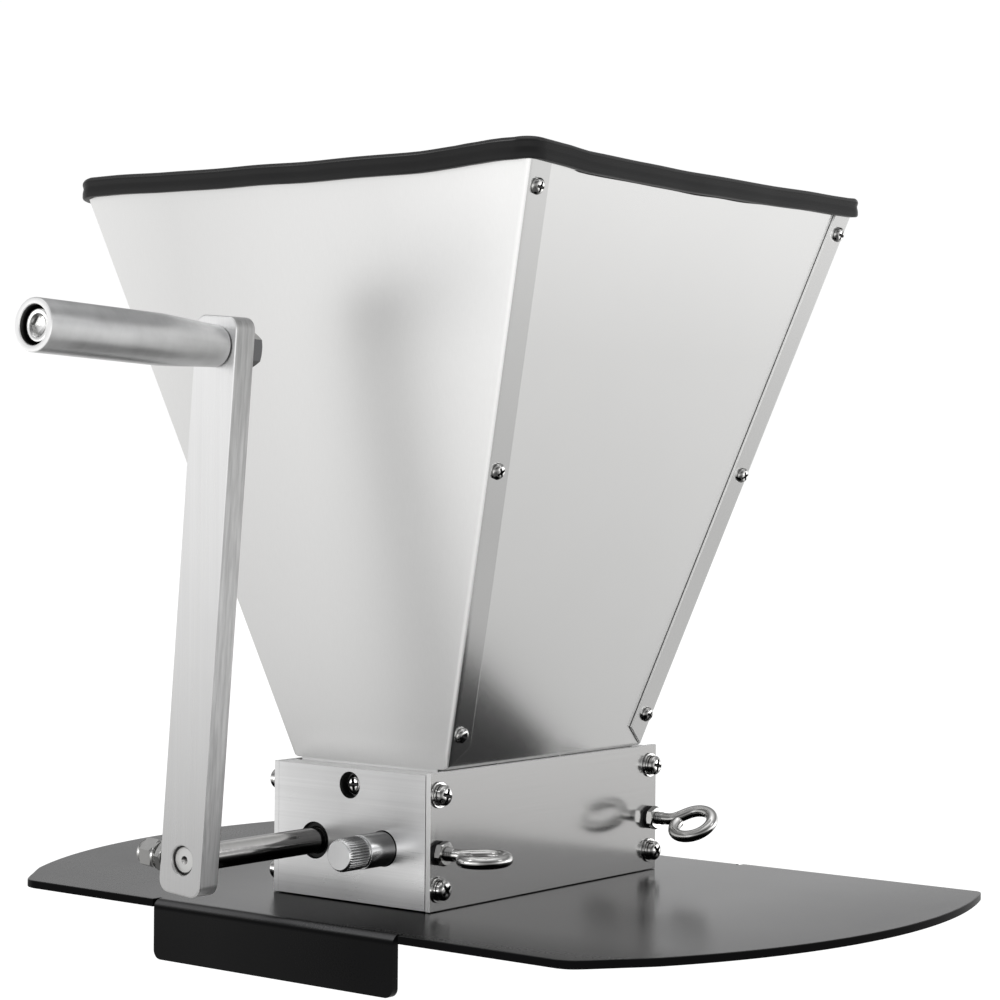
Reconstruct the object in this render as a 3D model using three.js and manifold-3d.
// Hand-cranked two-roller grain mill on a bucket base plate, with a sheet hopper.
// Millimetres, +Z up.  The crank is on the -Y end (front), the locking eye bolts
// are on the +X side (right).
//
// The mill is laid out from a working origin on the top face of the base plate,
// in the middle of the mill body.  The group is then moved so that the part's
// origin is the bottom centre of its bounding box.

import * as THREE from 'three';
import { mergeVertices } from 'three/addons/utils/BufferGeometryUtils.js';
import Module from 'manifold-3d';

const wasm = await Module();
wasm.setup();

// ---------------------------------------------------------------------------
// Shared dimensions
// ---------------------------------------------------------------------------
const SHIFT_Y = 58.4;            // working origin to part origin, along Y
const TAB_DROP = 21.8;           // lower edge of the base tabs below the plate top
const PLATE_T = 3.0;

// mill body
const BODY_L = 142.7;            // over the end blocks, along Y
const BODY_W = 75.8;             // over the side plates, along X
const BODY_H = 50.0;             // upper edge of the side plates
const BODY_Z0 = 0.05;            // body clear of the plate top
const BLOCK_T = 9.5;
const BLOCK_W = 71.0;
const BLOCK_H = 49.3;            // end blocks stop just under the side plates
const BLOCK_OUT = BODY_L / 2;    // outer face of the end blocks
const BLOCK_IN = BLOCK_OUT - BLOCK_T;
const SIDE_T = 2.2;
const SIDE_FACE = BODY_W / 2;    // outer face of the side plates

// rollers and their bearings
const SHAFT_R = 9.525 / 2;       // 3/8 in shaft
const AXIS_Z = 21.2;
const DRIVE_X = -17.6;
const ADJUST_X = 15.7;
const ECCENTRIC = 0.95;          // driven roller axis above the adjuster axis
const BUSH_R = 13.6 / 2;
const ADJUSTER_R = 12.5 / 2;
const RUN_GAP = 0.08;            // radial running clearance

// fasteners in the body
const SCREW_Y = 66.6;            // side, base and eye bolt screws, front and rear
const SIDE_SCREWS = [['lower', 8.0], ['upper', 42.1]];   // name, z
const BASE_SCREW_X = 20.0;
const FIX_X = -0.5;              // screws holding the hopper lips to the end blocks
const FIX_Z = 43.0;
const FIX_HOLE_R = 2.2;
const COUNTERBORE_R = 4.9;
const COUNTERBORE_DEPTH = 3.6;
const EYE_THREAD_R = 2.5;

const SEAT_GAP = 0.03;           // under heads and washers
const OVERRUN = 1;               // cutters run this far past a face

// mesh name part and sign along the axis
const ENDS = [['front', -1], ['rear', 1]];
const SIDES = [['right', 1], ['left', -1]];
const CORNERS = SIDES.flatMap(([sideName, sx]) => (
  ENDS.map(([endName, sy]) => [`${sideName}_${endName}`, sx, sy])));

// ---------------------------------------------------------------------------
// Helpers
// ---------------------------------------------------------------------------
const rad = THREE.MathUtils.degToRad;
const QUARTER_TURN = Math.PI / 2;

// a closed mesh as a solid, facing out whichever way it was wound
function solid(source) {
  const bare = source.clone();
  for (const name of Object.keys(bare.attributes)) {
    if (name !== 'position') bare.deleteAttribute(name);
  }
  const merged = mergeVertices(bare, 1e-4);
  const positions = merged.attributes.position.array;
  const index = merged.index.array;
  const vertex = (i) => new THREE.Vector3().fromArray(positions, i * 3);
  const triangles = [];
  let volume = 0;
  for (let i = 0; i < index.length; i += 3) {
    const [a, b, c] = index.slice(i, i + 3);
    if (a === b || b === c || c === a) continue;
    triangles.push(a, b, c);
    volume += vertex(a).dot(vertex(b).cross(vertex(c)));
  }
  if (volume < 0) triangles.reverse();
  return new wasm.Manifold(new wasm.Mesh({
    numProp: 3,
    vertProperties: new Float32Array(positions),
    triVerts: new Uint32Array(triangles),
  }));
}

function toGeometry(manifold) {
  const mesh = manifold.getMesh();
  const geometry = new THREE.BufferGeometry();
  const positions = new Float32Array(mesh.vertProperties);
  geometry.setAttribute('position', new THREE.BufferAttribute(positions, 3));
  geometry.setIndex(new THREE.BufferAttribute(new Uint32Array(mesh.triVerts), 1));
  geometry.computeVertexNormals();
  return geometry;
}

const cut = (body, ...cutters) => cutters.reduce((rest, cutter) => rest.subtract(cutter), body);

// limits on each axis may come in either order
function box(x0, x1, y0, y1, z0, z1) {
  const geometry = new THREE.BoxGeometry(Math.abs(x1 - x0), Math.abs(y1 - y0), Math.abs(z1 - z0));
  return solid(geometry.translate((x0 + x1) / 2, (y0 + y1) / 2, (z0 + z1) / 2));
}

// round bar along an axis, ends in either order, at (u, v) on the other two axes
function bar(axis, radius, from, to, u, v, segments) {
  const g = new THREE.CylinderGeometry(radius, radius, Math.abs(to - from), segments, 1);
  const middle = (from + to) / 2;
  if (axis === 'x') g.rotateZ(QUARTER_TURN).translate(middle, u, v);
  if (axis === 'y') g.translate(u, middle, v);
  if (axis === 'z') g.rotateX(QUARTER_TURN).translate(u, v, middle);
  return solid(g);
}

// geometry turned about Y from a profile of [radius, y]
function turned(profile, segments) {
  return new THREE.LatheGeometry(profile.map(([r, y]) => new THREE.Vector2(r, y)), segments);
}

// hexagonal prism along Y with eased corners and an optional bore
function hexPrism({ flats, from = 0, to, bore = 0, easeEnd = true }) {
  const cornerR = flats / Math.sqrt(3);
  const ease = 0.07 * flats;
  const profile = [[0, from], [cornerR - ease, from], [cornerR, from + ease * 0.7]];
  if (easeEnd) profile.push([cornerR, to - ease * 0.7], [cornerR - ease, to]);
  else profile.push([cornerR, to]);
  profile.push([0, to]);
  const prism6 = solid(turned(profile, 6));
  return bore ? cut(prism6, bar('y', bore, from - OVERRUN, to + OVERRUN, 0, 0, 12)) : prism6;
}

// pan head with a domed edge; underside at y = 0, head towards -Y, shank to +Y
function panScrew({ headR, headH, shankR, shankL, segments }) {
  return turned([
    [0, -headH], [headR * 0.6, -headH * 0.93], [headR, -headH * 0.4], [headR, 0],
    [shankR, 0], [shankR, shankL], [0, shankL],
  ], segments);
}

// six-faced solid whose sides lean: each x and y limit is a function of z
function leaningBlock(z0, z1, xa, xb, ya, yb) {
  const corners = [z0, z1].flatMap((z) => [
    xa(z), ya(z), z, xb(z), ya(z), z, xb(z), yb(z), z, xa(z), yb(z), z,
  ]);
  const geometry = new THREE.BufferGeometry();
  geometry.setAttribute('position', new THREE.BufferAttribute(new Float32Array(corners), 3));
  geometry.setIndex([
    0, 3, 2, 0, 2, 1, 4, 5, 6, 4, 6, 7, 0, 1, 5, 0, 5, 4,
    1, 2, 6, 1, 6, 5, 2, 3, 7, 2, 7, 6, 3, 0, 4, 3, 4, 7,
  ]);
  return solid(geometry);
}

// prism along an axis; points hold the other two coordinates, in x, y, z order
const [X, Y, Z] = [[1, 0, 0], [0, 1, 0], [0, 0, 1]].map((v) => new THREE.Vector3(...v));
const PRISM_BASIS = { x: [Y, Z, X], y: [X, Z, Y], z: [X, Y, Z] };
function prism(axis, points, from, to) {
  const shape = new THREE.Shape(points.map(([u, v]) => new THREE.Vector2(u, v)));
  const depth = Math.abs(to - from);
  const geometry = new THREE.ExtrudeGeometry(shape, { depth, bevelEnabled: false });
  geometry.translate(0, 0, Math.min(from, to));
  return solid(geometry.applyMatrix4(new THREE.Matrix4().makeBasis(...PRISM_BASIS[axis])));
}

// outline with each corner arc in the given number of steps
function roundedRect(x0, x1, y0, y1, r, steps) {
  const points = [];
  const arcs = [
    [x1 - r, y1 - r, 0], [x0 + r, y1 - r, 90], [x0 + r, y0 + r, 180], [x1 - r, y0 + r, 270],
  ];
  for (const [centreX, centreY, start] of arcs) {
    for (let i = 0; i <= steps; i++) {
      const angle = rad(start + (90 * i) / steps);
      points.push([centreX + r * Math.cos(angle), centreY + r * Math.sin(angle)]);
    }
  }
  return points;
}

// ---------------------------------------------------------------------------
// Materials
// ---------------------------------------------------------------------------
const material = (settings) => new THREE.MeshStandardMaterial(settings);
const STAINLESS = material({ color: 0xc9cac9, roughness: 0.32, metalness: 1.0 });
const POLISHED = material({ color: 0xb9bab9, roughness: 0.12, metalness: 1.0 });
const ALUMINIUM = material({ color: 0xc4c5c5, roughness: 0.4, metalness: 1.0 });
const STEEL = material({ color: 0x8f9091, roughness: 0.3, metalness: 1.0 });
const ZINC = material({ color: 0xb8bab8, roughness: 0.25, metalness: 1.0 });
const BLACK_BUSH = material({ color: 0x17181a, roughness: 0.5, metalness: 0.0 });
const RUBBER = material({ color: 0x141516, roughness: 0.6, metalness: 0.0 });
const POWDER = material({ color: 0x1d1d1f, roughness: 0.45, metalness: 0.1 });

// ---------------------------------------------------------------------------
// Groups
// ---------------------------------------------------------------------------
const part = new THREE.Group();
const mill = new THREE.Group();
mill.position.set(0, SHIFT_Y, TAB_DROP);
part.add(mill);

// add a named mesh; the shape is a closed geometry or a solid
function put(name, shape, finish, { at = [0, 0, 0], turn = [0, 0, 0], parent = mill } = {}) {
  const body = shape instanceof THREE.BufferGeometry ? solid(shape) : shape;
  const mesh = new THREE.Mesh(toGeometry(body), finish);
  mesh.name = name;
  mesh.position.set(...at);
  mesh.rotation.set(...turn);
  parent.add(mesh);
}

// ---------------------------------------------------------------------------
// Base plate: an arc on each side, cut straight front and rear, with a tab bent
// down on each straight edge
// ---------------------------------------------------------------------------
const ARC_R = 218.0;
const ARC_X = 37.2;              // each arc's centre lies this far past the middle
const ARC_Y = 25.0;
const ARC_STEPS = 14;
const ARC_START_Y = -88.0;
const ARC_END_SHORT = 0.015;     // radians left off the rear end of the arc
const PLATE_Y0 = -112.8;
const PLATE_Y1 = 105.5;
// eased front right corner, [x, y] from the straight edge to the arc
const FRONT_CORNER = [
  [124.6, -112.8], [127.4, -112.3], [130.0, -111.2], [132.4, -109.0],
  [136.2, -104.5], [140.2, -99.4], [144.7, -93.9],
];
const OPENING = roundedRect(-27, 27, -57, 57, 6, 3);
const TAB_X = -1.0;              // tab centre line
const TAB_W = 115.0;
const TAB_X0 = TAB_X - TAB_W / 2;
const TAB_X1 = TAB_X + TAB_W / 2;
const TAB_PROUD = 0.9;           // tab face past the plate edge
const TAB_CORNER_R = 3.2;
const TAB_RELIEF = 1.4;          // notch beside each end of a tab
const TAB_OVERLAP = 2;           // tab runs this far into the plate
const BEND_R = 3.3;              // outside of the bend
// [radius, z]
const COUNTERSINK = [
  [0, -PLATE_T - 0.5], [5.3, -PLATE_T - 0.5], [4.9, -PLATE_T + 0.1], [2.8, -PLATE_T + 2.2],
  [2.8, OVERRUN], [0, OVERRUN],
];

function plateOutline() {
  const startAngle = Math.asin((ARC_START_Y - ARC_Y) / ARC_R);
  const rearAngle = Math.asin((PLATE_Y1 - ARC_Y) / ARC_R);
  const sweep = rearAngle - ARC_END_SHORT - startAngle;
  const right = [...FRONT_CORNER];
  for (let i = 0; i <= ARC_STEPS; i++) {
    const angle = startAngle + (sweep * i) / ARC_STEPS;
    right.push([ARC_R * Math.cos(angle) - ARC_X, ARC_Y + ARC_R * Math.sin(angle)]);
  }
  // eased rear corner
  const rearX = ARC_R * Math.cos(rearAngle) - ARC_X;
  right.push([rearX - 0.9, PLATE_Y1 - 0.55], [rearX - 2.6, PLATE_Y1]);
  const left = right.map(([x, y]) => [-x, y]).reverse();
  return [...right, ...left];
}

// bent tab; s is the sign of its end along Y
function baseTab(s, face, bendY) {
  const bendPoint = (r, degrees) => [
    bendY + s * r * Math.cos(rad(degrees)), -BEND_R + r * Math.sin(rad(degrees)),
  ];
  const profile = [
    [bendY - s * TAB_OVERLAP, 0],
    ...[90, 60, 30, 0].map((angle) => bendPoint(BEND_R, angle)),
    [face, -TAB_DROP], [face - s * PLATE_T, -TAB_DROP],
    ...[0, 45, 90].map((angle) => bendPoint(BEND_R - PLATE_T, angle)),
    [bendY - s * TAB_OVERLAP, -PLATE_T],
  ];
  // the mask rounds the lower corners; its upper edge is well above the tab
  const mask = roundedRect(TAB_X0, TAB_X1, -TAB_DROP, 12, TAB_CORNER_R, 3);
  return prism('x', profile, TAB_X0, TAB_X1).intersect(prism('y', mask, bendY - s * 5, face + s * 5));
}

function basePlate() {
  let plate = cut(
    prism('z', plateOutline(), -PLATE_T, 0),
    prism('z', OPENING, -PLATE_T - OVERRUN, OVERRUN));
  for (const [s, edge] of [[-1, PLATE_Y0], [1, PLATE_Y1]]) {
    const face = edge + s * TAB_PROUD;
    const bendY = face - s * BEND_R;
    // the bend replaces this strip of the plate edge
    const strip = box(TAB_X0 - TAB_RELIEF, TAB_X1 + TAB_RELIEF, bendY, edge + s * 3,
      -PLATE_T - OVERRUN, OVERRUN);
    plate = plate.subtract(strip).add(baseTab(s, face, bendY));
  }
  const countersinks = CORNERS.map(([, sx, sy]) => solid(
    turned(COUNTERSINK, 12).rotateX(QUARTER_TURN).translate(sx * BASE_SCREW_X, sy * SCREW_Y, 0)));
  return cut(plate, ...countersinks);
}
put('base_plate', basePlate(), POWDER);

// ---------------------------------------------------------------------------
// End blocks
// ---------------------------------------------------------------------------
const BUSH_FIT = 0.05;           // radial gap round the shaft bush
const SIDE_TAP_R = 2.12;
const SIDE_TAP_END_X = 24.4;     // inner end of the side screw holes
const BASE_TAP_R = 2.65;
const BASE_TAP_DEPTH = 11.0;

function endBlock(s) {
  const outer = s * (BLOCK_OUT + OVERRUN);
  const through = (radius, x, z, segments) => (
    bar('y', radius, s * (BLOCK_IN - OVERRUN), outer, x, z, segments));
  const edgeX = BLOCK_W / 2;
  const y = s * SCREW_Y;
  const block = cut(
    box(-edgeX, edgeX, s * BLOCK_IN, s * BLOCK_OUT, BODY_Z0, BLOCK_H),
    through(BUSH_R + BUSH_FIT, DRIVE_X, AXIS_Z, 28),
    through(ADJUSTER_R + RUN_GAP, ADJUST_X, AXIS_Z, 28),
    through(FIX_HOLE_R, FIX_X, FIX_Z, 12),
    bar('y', COUNTERBORE_R, s * (BLOCK_OUT - COUNTERBORE_DEPTH), outer, FIX_X, FIX_Z, 20),
    // eye bolt hole, open into the adjuster bore
    bar('x', EYE_THREAD_R + 0.1, ADJUST_X, edgeX + OVERRUN, y, AXIS_Z, 14));
  const taps = SIDES.flatMap(([, sx]) => [
    ...SIDE_SCREWS.map(([, z]) => (
      bar('x', SIDE_TAP_R, sx * SIDE_TAP_END_X, sx * (edgeX + OVERRUN), y, z, 10))),
    bar('z', BASE_TAP_R, -OVERRUN, BASE_TAP_DEPTH, sx * BASE_SCREW_X, y, 12),
  ]);
  return cut(block, ...taps);
}
for (const [name, s] of ENDS) put(`end_block_${name}`, endBlock(s), ALUMINIUM);

// ---------------------------------------------------------------------------
// Side plates; the right one is also drilled for the eye bolts
// ---------------------------------------------------------------------------
const SIDE_HOLE_R = 2.2;

function sidePlate(s) {
  const inner = SIDE_FACE - SIDE_T;
  const hole = (radius, y, z, segments) => (
    bar('x', radius, s * (inner - OVERRUN), s * (SIDE_FACE + OVERRUN), y, z, segments));
  let plate = box(s * inner, s * SIDE_FACE, -BLOCK_OUT, BLOCK_OUT, BODY_Z0, BODY_H);
  for (const [, sy] of ENDS) {
    const y = sy * SCREW_Y;
    plate = cut(plate, ...SIDE_SCREWS.map(([, z]) => hole(SIDE_HOLE_R, y, z, 10)));
    if (s > 0) plate = cut(plate, hole(EYE_THREAD_R + 0.3, y, AXIS_Z, 14));
  }
  return plate;
}
for (const [name, s] of SIDES) put(`side_plate_${name}`, sidePlate(s), POLISHED);

// ---------------------------------------------------------------------------
// Body and base screws
// ---------------------------------------------------------------------------
// pan head with captive spring and flat washers, [radius, y], head towards -Y
const BODY_SCREW = [
  [0, -3.5], [2.6, -3.3], [4.0, -2.1], [4.0, -1.3], [4.6, -0.7], [4.6, 0],
  [2.0, 0], [2.0, 13.0], [0, 13.0],
];
// countersunk, [radius, z]
const BASE_SCREW = [
  [0, -PLATE_T], [4.6, -PLATE_T], [4.6, -PLATE_T + 0.3], [2.5, -PLATE_T + 2.4],
  [2.5, 10.4], [0, 10.4],
];

for (const [corner, sx, sy] of CORNERS) {
  for (const [level, z] of SIDE_SCREWS) {
    // the quarter turn points the head away from the body
    const screw = turned(BODY_SCREW, 12).rotateZ(sx * QUARTER_TURN);
    put(`body_screw_${corner}_${level}`, screw, ZINC,
      { at: [sx * (SIDE_FACE + SEAT_GAP), sy * SCREW_Y, z] });
  }
}
for (const [corner, sx, sy] of CORNERS) {
  put(`base_screw_${corner}`, turned(BASE_SCREW, 12).rotateX(QUARTER_TURN), ZINC,
    { at: [sx * BASE_SCREW_X, sy * SCREW_Y, 0] });
}

// ---------------------------------------------------------------------------
// Shaft bushes and rollers
// ---------------------------------------------------------------------------
const ROLLER_R = 31.75 / 2;      // 1 1/4 in
const ROLLER_END = 122.9 / 2;
const ROLLER_CHAMFER = 0.6;
const SHAFT_FRONT_Y = -140.4;
const SHAFT_CHAMFER = 0.4;
const DRIVE_REAR_Y = BLOCK_OUT - 0.1;
const DRIVEN_END_Y = BLOCK_OUT - 2.6;
// roller between its shaft ends, [radius, y]
const ROLLER_BODY = [
  [SHAFT_R, -ROLLER_END], [ROLLER_R - ROLLER_CHAMFER, -ROLLER_END],
  [ROLLER_R, -ROLLER_END + ROLLER_CHAMFER], [ROLLER_R, ROLLER_END - ROLLER_CHAMFER],
  [ROLLER_R - ROLLER_CHAMFER, ROLLER_END], [SHAFT_R, ROLLER_END],
];

for (const [name, s] of ENDS) {
  const boreR = SHAFT_R + RUN_GAP;
  const inner = s * BLOCK_IN;
  const outer = s * BLOCK_OUT;
  const bush = turned(
    [[boreR, inner], [BUSH_R, inner], [BUSH_R, outer], [boreR, outer], [boreR, inner]], 28);
  put(`shaft_bush_${name}`, bush, BLACK_BUSH, { at: [DRIVE_X, 0, AXIS_Z] });
}

put('drive_roller', turned([
  [0, SHAFT_FRONT_Y], [SHAFT_R - SHAFT_CHAMFER, SHAFT_FRONT_Y],
  [SHAFT_R, SHAFT_FRONT_Y + SHAFT_CHAMFER],
  ...ROLLER_BODY,
  [SHAFT_R, DRIVE_REAR_Y], [0, DRIVE_REAR_Y],
], 28), STEEL, { at: [DRIVE_X, 0, AXIS_Z] });

put('driven_roller', turned([
  [0, -DRIVEN_END_Y], [SHAFT_R, -DRIVEN_END_Y],
  ...ROLLER_BODY,
  [SHAFT_R, DRIVEN_END_Y], [0, DRIVEN_END_Y],
], 28), STEEL, { at: [ADJUST_X, 0, AXIS_Z + ECCENTRIC] });

// ---------------------------------------------------------------------------
// Eccentric adjusters: a knob in one piece with the eccentric bearing of the
// driven roller
// ---------------------------------------------------------------------------
const ADJUSTER_OUT = 24.2;       // stands out of the end block
const KNOB_R = 12.0 / 2;
const KNOB_L = 10.6;
const KNOB_CHAMFER = 0.8;

// drawn for the rear end
function adjuster() {
  const inner = BLOCK_IN + 0.05;
  const outer = BLOCK_OUT + ADJUSTER_OUT;
  const body = solid(turned([
    [0, inner], [ADJUSTER_R - 0.3, inner], [ADJUSTER_R, inner + 0.3],
    [ADJUSTER_R, outer - KNOB_L - 0.2], [KNOB_R, outer - KNOB_L],
    [KNOB_R, outer - KNOB_CHAMFER], [KNOB_R - KNOB_CHAMFER, outer], [0, outer],
  ], 28));
  // blind bore, a little deeper than the shaft end
  return cut(body,
    bar('y', SHAFT_R + RUN_GAP, BLOCK_IN - OVERRUN, DRIVEN_END_Y + 0.3, 0, ECCENTRIC, 28));
}
for (const [name, s] of ENDS) {
  const body = s < 0 ? adjuster().mirror([0, 1, 0]) : adjuster();
  put(`adjuster_knob_${name}`, body, ALUMINIUM, { at: [ADJUST_X, 0, AXIS_Z] });
}

// ---------------------------------------------------------------------------
// Locking eye bolts with washers and nuts
// ---------------------------------------------------------------------------
const EYE_R = 7.95;              // centre line of the ring
const WIRE_R = 2.3;
const EYE_TIP_X = ADJUST_X + ADJUSTER_R + 0.12;
const EYE_WASHER_T = 1.3;
const EYE_WASHER_R = 4.5;
// ring centre x; turns about X in degrees
const EYES = {
  front: { x: 59.9, boltTurn: 2.0, nutTurn: 12 },
  rear: { x: 59.6, boltTurn: 33.0, nutTurn: 25 },
};

function eyeBolt(ringX) {
  const neckX = ringX - EYE_R;
  const shank = turned([
    [0, EYE_TIP_X], [EYE_THREAD_R, EYE_TIP_X], [EYE_THREAD_R, neckX - 5.2],
    [WIRE_R, neckX - 3.4], [WIRE_R, neckX], [0, neckX],
  ], 14).rotateZ(-QUARTER_TURN);
  const ring = new THREE.TorusGeometry(EYE_R, WIRE_R, 8, 20).translate(ringX, 0, 0);
  return solid(shank).add(solid(ring));
}

function eyeWasher() {
  const boreR = EYE_THREAD_R + 0.2;
  return turned([
    [boreR, 0], [EYE_WASHER_R, 0], [EYE_WASHER_R, EYE_WASHER_T], [boreR, EYE_WASHER_T], [boreR, 0],
  ], 16).rotateZ(-QUARTER_TURN);
}

for (const [name, s] of ENDS) {
  const { x, boltTurn, nutTurn } = EYES[name];
  const y = s * SCREW_Y;
  put(`eye_bolt_${name}`, eyeBolt(x), ZINC, { at: [0, y, AXIS_Z], turn: [rad(boltTurn), 0, 0] });
  put(`eye_bolt_washer_${name}`, eyeWasher(), RUBBER, { at: [SIDE_FACE + SEAT_GAP, y, AXIS_Z] });
  const nut = hexPrism({ flats: 8.0, to: 2.6, bore: EYE_THREAD_R + 0.18 }).rotate([0, 0, -90]);
  put(`eye_bolt_nut_${name}`, nut, ZINC,
    { at: [SIDE_FACE + EYE_WASHER_T + 0.13, y, AXIS_Z], turn: [rad(nutTurn), 0, 0] });
}

// ---------------------------------------------------------------------------
// Hopper: folded front and rear panels with flanges over the two side panels
// ---------------------------------------------------------------------------
const SHEET = 1.0;
const LAP_GAP = 0.15;            // between flange and side panel
const HOPPER_Z0 = 50.35;
const HOPPER_TOP = 266.4;        // sheet edge, inside the rim trim
// outside half sizes at two heights fix the slopes
const LOW = { x: 37.25, y: 61.5, z: 50 };
const HIGH = { x: 106.05, y: 105.5, z: 261.4 };
const FLANGE_W = 12.1;
const FLANGE_SCREW_IN = 5.5;     // screw line from the bent edge
const FLANGE_SCREWS = [['low', 63.2], ['mid', 158.4], ['top', 253.5]];   // name, z
const FLANGE_HOLE_R = 1.7;
const LIP_GAP = 0.12;            // lip to end block
const LIP_HALF_W = 33;
const LIP_Z0 = 38.6;

const slopeX = (HIGH.x - LOW.x) / (HIGH.z - LOW.z);
const slopeY = (HIGH.y - LOW.y) / (HIGH.z - LOW.z);
const leanX = Math.atan(slopeX);
// horizontal thickness per unit of sheet
const perSheetX = Math.hypot(1, slopeX);
const perSheetY = Math.hypot(1, slopeY);
const halfX = (z) => LOW.x + slopeX * (z - LOW.z);
const halfY = (z) => LOW.y + slopeY * (z - LOW.z);

function flangeScrewHoles(sx, sy) {
  return FLANGE_SCREWS.map(([, z]) => solid(
    new THREE.CylinderGeometry(FLANGE_HOLE_R, FLANGE_HOLE_R, 14, 8, 1)
      .rotateZ(QUARTER_TURN)
      .rotateY(sx * leanX)
      .translate(sx * halfX(z), sy * (halfY(z) - FLANGE_SCREW_IN), z)));
}

// wedges that cut the lower corner of each flange back at an angle
function flangeCornerCuts(s, thickness) {
  const z0 = 52.0;
  const z1 = 58.5;               // the slanted edge meets the flange edge here
  const startY = halfY(z0) - 1.2 * thickness;
  // the cut carries on to 1.5 times the slanted edge
  const endY = startY - 1.5 * (startY - (halfY(z1) - FLANGE_W));
  const endZ = z0 + 1.5 * (z1 - z0);
  const profile = [
    [s * (halfY(z0) - 0.9 * thickness), z0 - 8], [s * startY, z0],
    [s * endY, endZ], [s * endY, z0 - 8],
  ];
  const innerX = halfX(HOPPER_Z0) - 2.4;
  return SIDES.map(([, sx]) => prism('x', profile, sx * innerX, sx * 60));
}

// lip that hangs down inside the end block
function hopperLip(s) {
  const outer = BLOCK_IN - LIP_GAP;
  const inner = outer - SHEET;
  const topZ = 51.2;
  const profile = [
    [outer, LIP_Z0], [outer, 49.6], [halfY(topZ) - 0.05, topZ],
    [halfY(topZ) - 0.9, topZ], [inner, 49.2], [inner, LIP_Z0],
  ].map(([y, z]) => [s * y, z]);
  return prism('x', profile, -LIP_HALF_W, LIP_HALF_W);
}

function hopperEndPanel(s) {
  const thicknessX = SHEET * perSheetX;
  const thicknessY = SHEET * perSheetY;
  const inset = (depth) => (z) => s * (halfY(z) - depth);
  const outside = leaningBlock(HOPPER_Z0, HOPPER_TOP,
    (z) => -halfX(z), halfX, inset(0), inset(FLANGE_W));
  const insideFold = leaningBlock(HOPPER_Z0 - 5, HOPPER_TOP + 5,
    (z) => -halfX(z) + thicknessX, (z) => halfX(z) - thicknessX,
    inset(thicknessY), inset(FLANGE_W + 6));
  return cut(
    cut(outside, insideFold, ...flangeCornerCuts(s, thicknessY)).add(hopperLip(s)),
    bar('y', FIX_HOLE_R, s * 55, s * 66, FIX_X, FIX_Z, 12),
    ...flangeScrewHoles(1, s),
    ...flangeScrewHoles(-1, s));
}

function hopperSidePanel(s) {
  const outer = (SHEET + LAP_GAP) * perSheetX;
  const inner = (2 * SHEET + LAP_GAP) * perSheetX;
  const endY = (z) => halfY(z) - (SHEET + LAP_GAP) * perSheetY;
  const panel = leaningBlock(HOPPER_Z0, HOPPER_TOP,
    (z) => s * (halfX(z) - inner), (z) => s * (halfX(z) - outer), (z) => -endY(z), endY);
  return cut(panel, ...flangeScrewHoles(s, 1), ...flangeScrewHoles(s, -1));
}

for (const [name, s] of ENDS) put(`hopper_panel_${name}`, hopperEndPanel(s), STAINLESS);
for (const [name, s] of SIDES) put(`hopper_panel_${name}`, hopperSidePanel(s), STAINLESS);

// flange screws, heads seated on the leaning faces
for (const [corner, sx, sy] of CORNERS) {
  for (const [level, z] of FLANGE_SCREWS) {
    const screw = panScrew({ headR: 3.0, headH: 2.1, shankR: 1.45, shankL: 4.2, segments: 10 })
      .rotateZ(sx * QUARTER_TURN)
      .rotateY(sx * leanX);
    put(`flange_screw_${corner}_${level}`, screw, ZINC, {
      at: [
        sx * (halfX(z) + SEAT_GAP / perSheetX),
        sy * (halfY(z) - FLANGE_SCREW_IN),
        z - SEAT_GAP * slopeX / perSheetX,
      ],
    });
  }
}

// screws through the end blocks into the hopper lips, with their nuts
const FIX_NUT_T = 3.2;
const FIX_NUT_Y = BLOCK_IN - 1.2;   // outer face of the nut
for (const [name, s] of ENDS) {
  const screw = panScrew({ headR: 4.0, headH: 2.7, shankR: 2.0, shankL: 10.6, segments: 14 });
  if (s > 0) screw.rotateZ(Math.PI);
  put(`hopper_fixing_screw_${name}`, screw, ZINC,
    { at: [FIX_X, s * (BLOCK_OUT - COUNTERBORE_DEPTH + 0.05), FIX_Z] });
  put(`hopper_fixing_nut_${name}`, hexPrism({ flats: 7.0, to: FIX_NUT_T, bore: 2.15 }), ZINC,
    { at: [FIX_X, s < 0 ? -FIX_NUT_Y : FIX_NUT_Y - FIX_NUT_T, FIX_Z] });
}

// ---------------------------------------------------------------------------
// Rim trim: a channel pushed over the top edge of the sheets
// ---------------------------------------------------------------------------
const TRIM_Z0 = 261.4;
const TRIM_Z1 = 268.9;
const TRIM_OUTER = roundedRect(-109.6, 109.6, -109.2, 109.2, 4.5, 3);
const TRIM_INNER = roundedRect(-102.2, 102.2, -102.2, 102.2, 2, 2);
const GROOVE_TOP = HOPPER_TOP + 0.3;

// leaning block this far inside the hopper's outer faces; negative is outside
function hopperInset(z0, z1, insetX, insetY) {
  return leaningBlock(z0, z1,
    (z) => -halfX(z) + insetX, (z) => halfX(z) - insetX,
    (z) => -halfY(z) + insetY, (z) => halfY(z) - insetY);
}
const groove = cut(
  hopperInset(TRIM_Z0 - 2, GROOVE_TOP, -0.2, -0.2),
  hopperInset(TRIM_Z0 - 3, GROOVE_TOP + 1, 2.55, 1.35));
put('rim_trim', cut(
  prism('z', TRIM_OUTER, TRIM_Z0, TRIM_Z1),
  prism('z', TRIM_INNER, TRIM_Z0 - OVERRUN, TRIM_Z1 + OVERRUN),
  groove), RUBBER);

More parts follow.
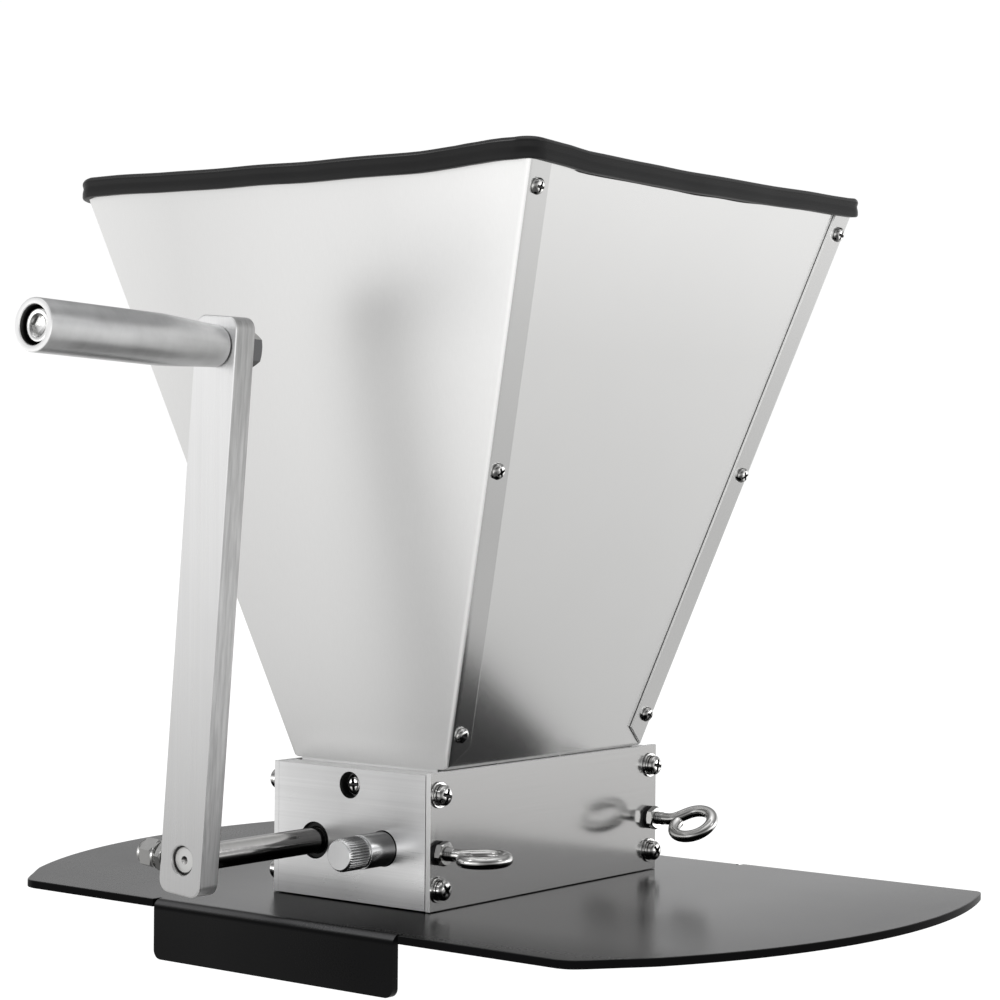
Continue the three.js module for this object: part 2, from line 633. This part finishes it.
// ---------------------------------------------------------------------------
// Crank arm and clamp, drawn upright about the shaft axis, then leaned to rest
// ---------------------------------------------------------------------------
const CRANK_TILT = 4.7;          // degrees towards +X
const CRANK_R = 180.0;           // shaft axis to handle axis
const ARM_W = 19.7;
const ARM_T = 9.5;
const ARM_Y0 = -140.6;           // front face
const ARM_MID_Y = ARM_Y0 + ARM_T / 2;
const ARM_OFF = -0.7;            // arm centre line off the bores
const ARM_X0 = ARM_OFF - ARM_W / 2;
const ARM_X1 = ARM_OFF + ARM_W / 2;
const ARM_BELOW = 12.3;
const ARM_ABOVE = 10.8;
const ARM_CORNER_R = 4.5;
const CLAMP_Z = -1.1;
const CLAMP_HOLE_R = 3.2;
const CLAMP_SHANK_R = 2.95;
const CLAMP_SEAT_X = ARM_X0 - 3.2;       // underside of the bolt head
const CLAMP_TIP_X = -SHAFT_R - 0.3;      // just short of the shaft
const CLAMP_NUT_T = 2.7;

const crank = new THREE.Group();
crank.position.set(DRIVE_X, 0, AXIS_Z);
crank.rotation.y = rad(CRANK_TILT);
mill.add(crank);

function crankArm() {
  const outline = roundedRect(ARM_X0, ARM_X1, -ARM_BELOW, CRANK_R + ARM_ABOVE, ARM_CORNER_R, 3);
  const rearY = ARM_Y0 + ARM_T;
  return cut(
    prism('y', outline, ARM_Y0, rearY),
    bar('y', SHAFT_R + 0.16, ARM_Y0 - OVERRUN, rearY + OVERRUN, 0, 0, 28),
    bar('y', 4.5, ARM_Y0 - OVERRUN, rearY + OVERRUN, 0, CRANK_R, 16),
    bar('x', CLAMP_HOLE_R, ARM_X0 - OVERRUN, 0, ARM_MID_Y, CLAMP_Z, 12));
}
put('crank_arm', crankArm(), ALUMINIUM, { parent: crank });

// hex bolt that clamps the arm on the shaft, with its lock nut; +Y becomes +X
const clampBolt = hexPrism({ flats: 10.0, from: -7.4, to: 0, easeEnd: false })
  .add(bar('y', CLAMP_SHANK_R, -0.5, CLAMP_TIP_X - CLAMP_SEAT_X, 0, 0, 12))
  .rotate([0, 0, -90]);
put('clamp_bolt', clampBolt, ZINC, { at: [CLAMP_SEAT_X, ARM_MID_Y, CLAMP_Z], parent: crank });
const clampNut = hexPrism({ flats: 10.0, to: CLAMP_NUT_T, bore: CLAMP_HOLE_R })
  .rotate([0, 0, -90]);
put('clamp_nut', clampNut, ZINC, {
  at: [ARM_X0 - 0.3 - CLAMP_NUT_T, ARM_MID_Y, CLAMP_Z],
  turn: [rad(20), 0, 0],
  parent: crank,
});

// ---------------------------------------------------------------------------
// Crank handle, drawn along its own axis from the middle of the arm towards -Y
// ---------------------------------------------------------------------------
const HANDLE_TILT = 2.0;         // degrees, outer end up
const HANDLE_R = 17.8 / 2;
const HANDLE_INNER_R = 14.8 / 2; // at the arm
const HANDLE_Y0 = -88.75;        // outer end
const HANDLE_ARM_GAP = 0.6;      // arm face to sleeve or nut
const HANDLE_Y1 = -ARM_T / 2 - HANDLE_ARM_GAP;
const HANDLE_TAPER = 28.0;       // length of the taper at the arm end
const TAPER_STEPS = 3;
const HANDLE_EASE = 1.2;
const HANDLE_BORE_R = 4.15;
const RECESS_R = 6.6;            // recess for the bolt head
const RECESS_DEPTH = 10.4;
const BOLT_Y0 = HANDLE_Y0 + 2.0;
const BOLT_HEAD_R = 5.75;
const BOLT_HEAD_L = 8.0;
const BOLT_R = 4.0;
const BOLT_END_Y = 12.6;
const SOCKET_R = 3.45;
const SOCKET_DEPTH = 4.5;

const handle = new THREE.Group();
handle.position.set(0, ARM_MID_Y, CRANK_R);
handle.rotation.x = -rad(HANDLE_TILT);
crank.add(handle);

function handleSleeve() {
  const recessY = HANDLE_Y0 + RECESS_DEPTH;
  const profile = [
    [HANDLE_BORE_R, recessY], [RECESS_R, recessY], [RECESS_R, HANDLE_Y0],
    [HANDLE_R - HANDLE_EASE, HANDLE_Y0], [HANDLE_R, HANDLE_Y0 + HANDLE_EASE],
    [HANDLE_R, HANDLE_Y1 - HANDLE_TAPER],
  ];
  for (let i = 1; i <= TAPER_STEPS; i++) {
    const along = i / TAPER_STEPS;
    // part smooth step, part straight taper
    const blend = 0.4 * along * along * (3 - 2 * along) + 0.6 * along;
    profile.push([
      HANDLE_R + (HANDLE_INNER_R - HANDLE_R) * blend,
      HANDLE_Y1 - HANDLE_TAPER * (1 - along),
    ]);
  }
  profile.push([HANDLE_BORE_R, HANDLE_Y1], [HANDLE_BORE_R, recessY]);
  return turned(profile, 24);
}
put('crank_handle', handleSleeve(), ALUMINIUM, { parent: handle });

// socket head bolt on which the handle turns
function handleBolt() {
  const seatY = BOLT_Y0 + BOLT_HEAD_L;
  const bolt = solid(turned([
    [0, BOLT_Y0], [BOLT_HEAD_R - 0.35, BOLT_Y0], [BOLT_HEAD_R, BOLT_Y0 + 0.45],
    [BOLT_HEAD_R, seatY], [BOLT_R, seatY], [BOLT_R, BOLT_END_Y], [0, BOLT_END_Y],
  ], 20));
  return cut(bolt,
    bar('y', SOCKET_R, BOLT_Y0 - SOCKET_DEPTH, BOLT_Y0 + SOCKET_DEPTH, 0, 0, 6));
}
put('handle_bolt', handleBolt(), ZINC, { parent: handle });
put('handle_nut', hexPrism({ flats: 13.0, to: 6.5, bore: 4.25 }), ZINC, {
  at: [0, ARM_T / 2 + HANDLE_ARM_GAP, 0],
  turn: [0, rad(1), 0],
  parent: handle,
});

export default part;
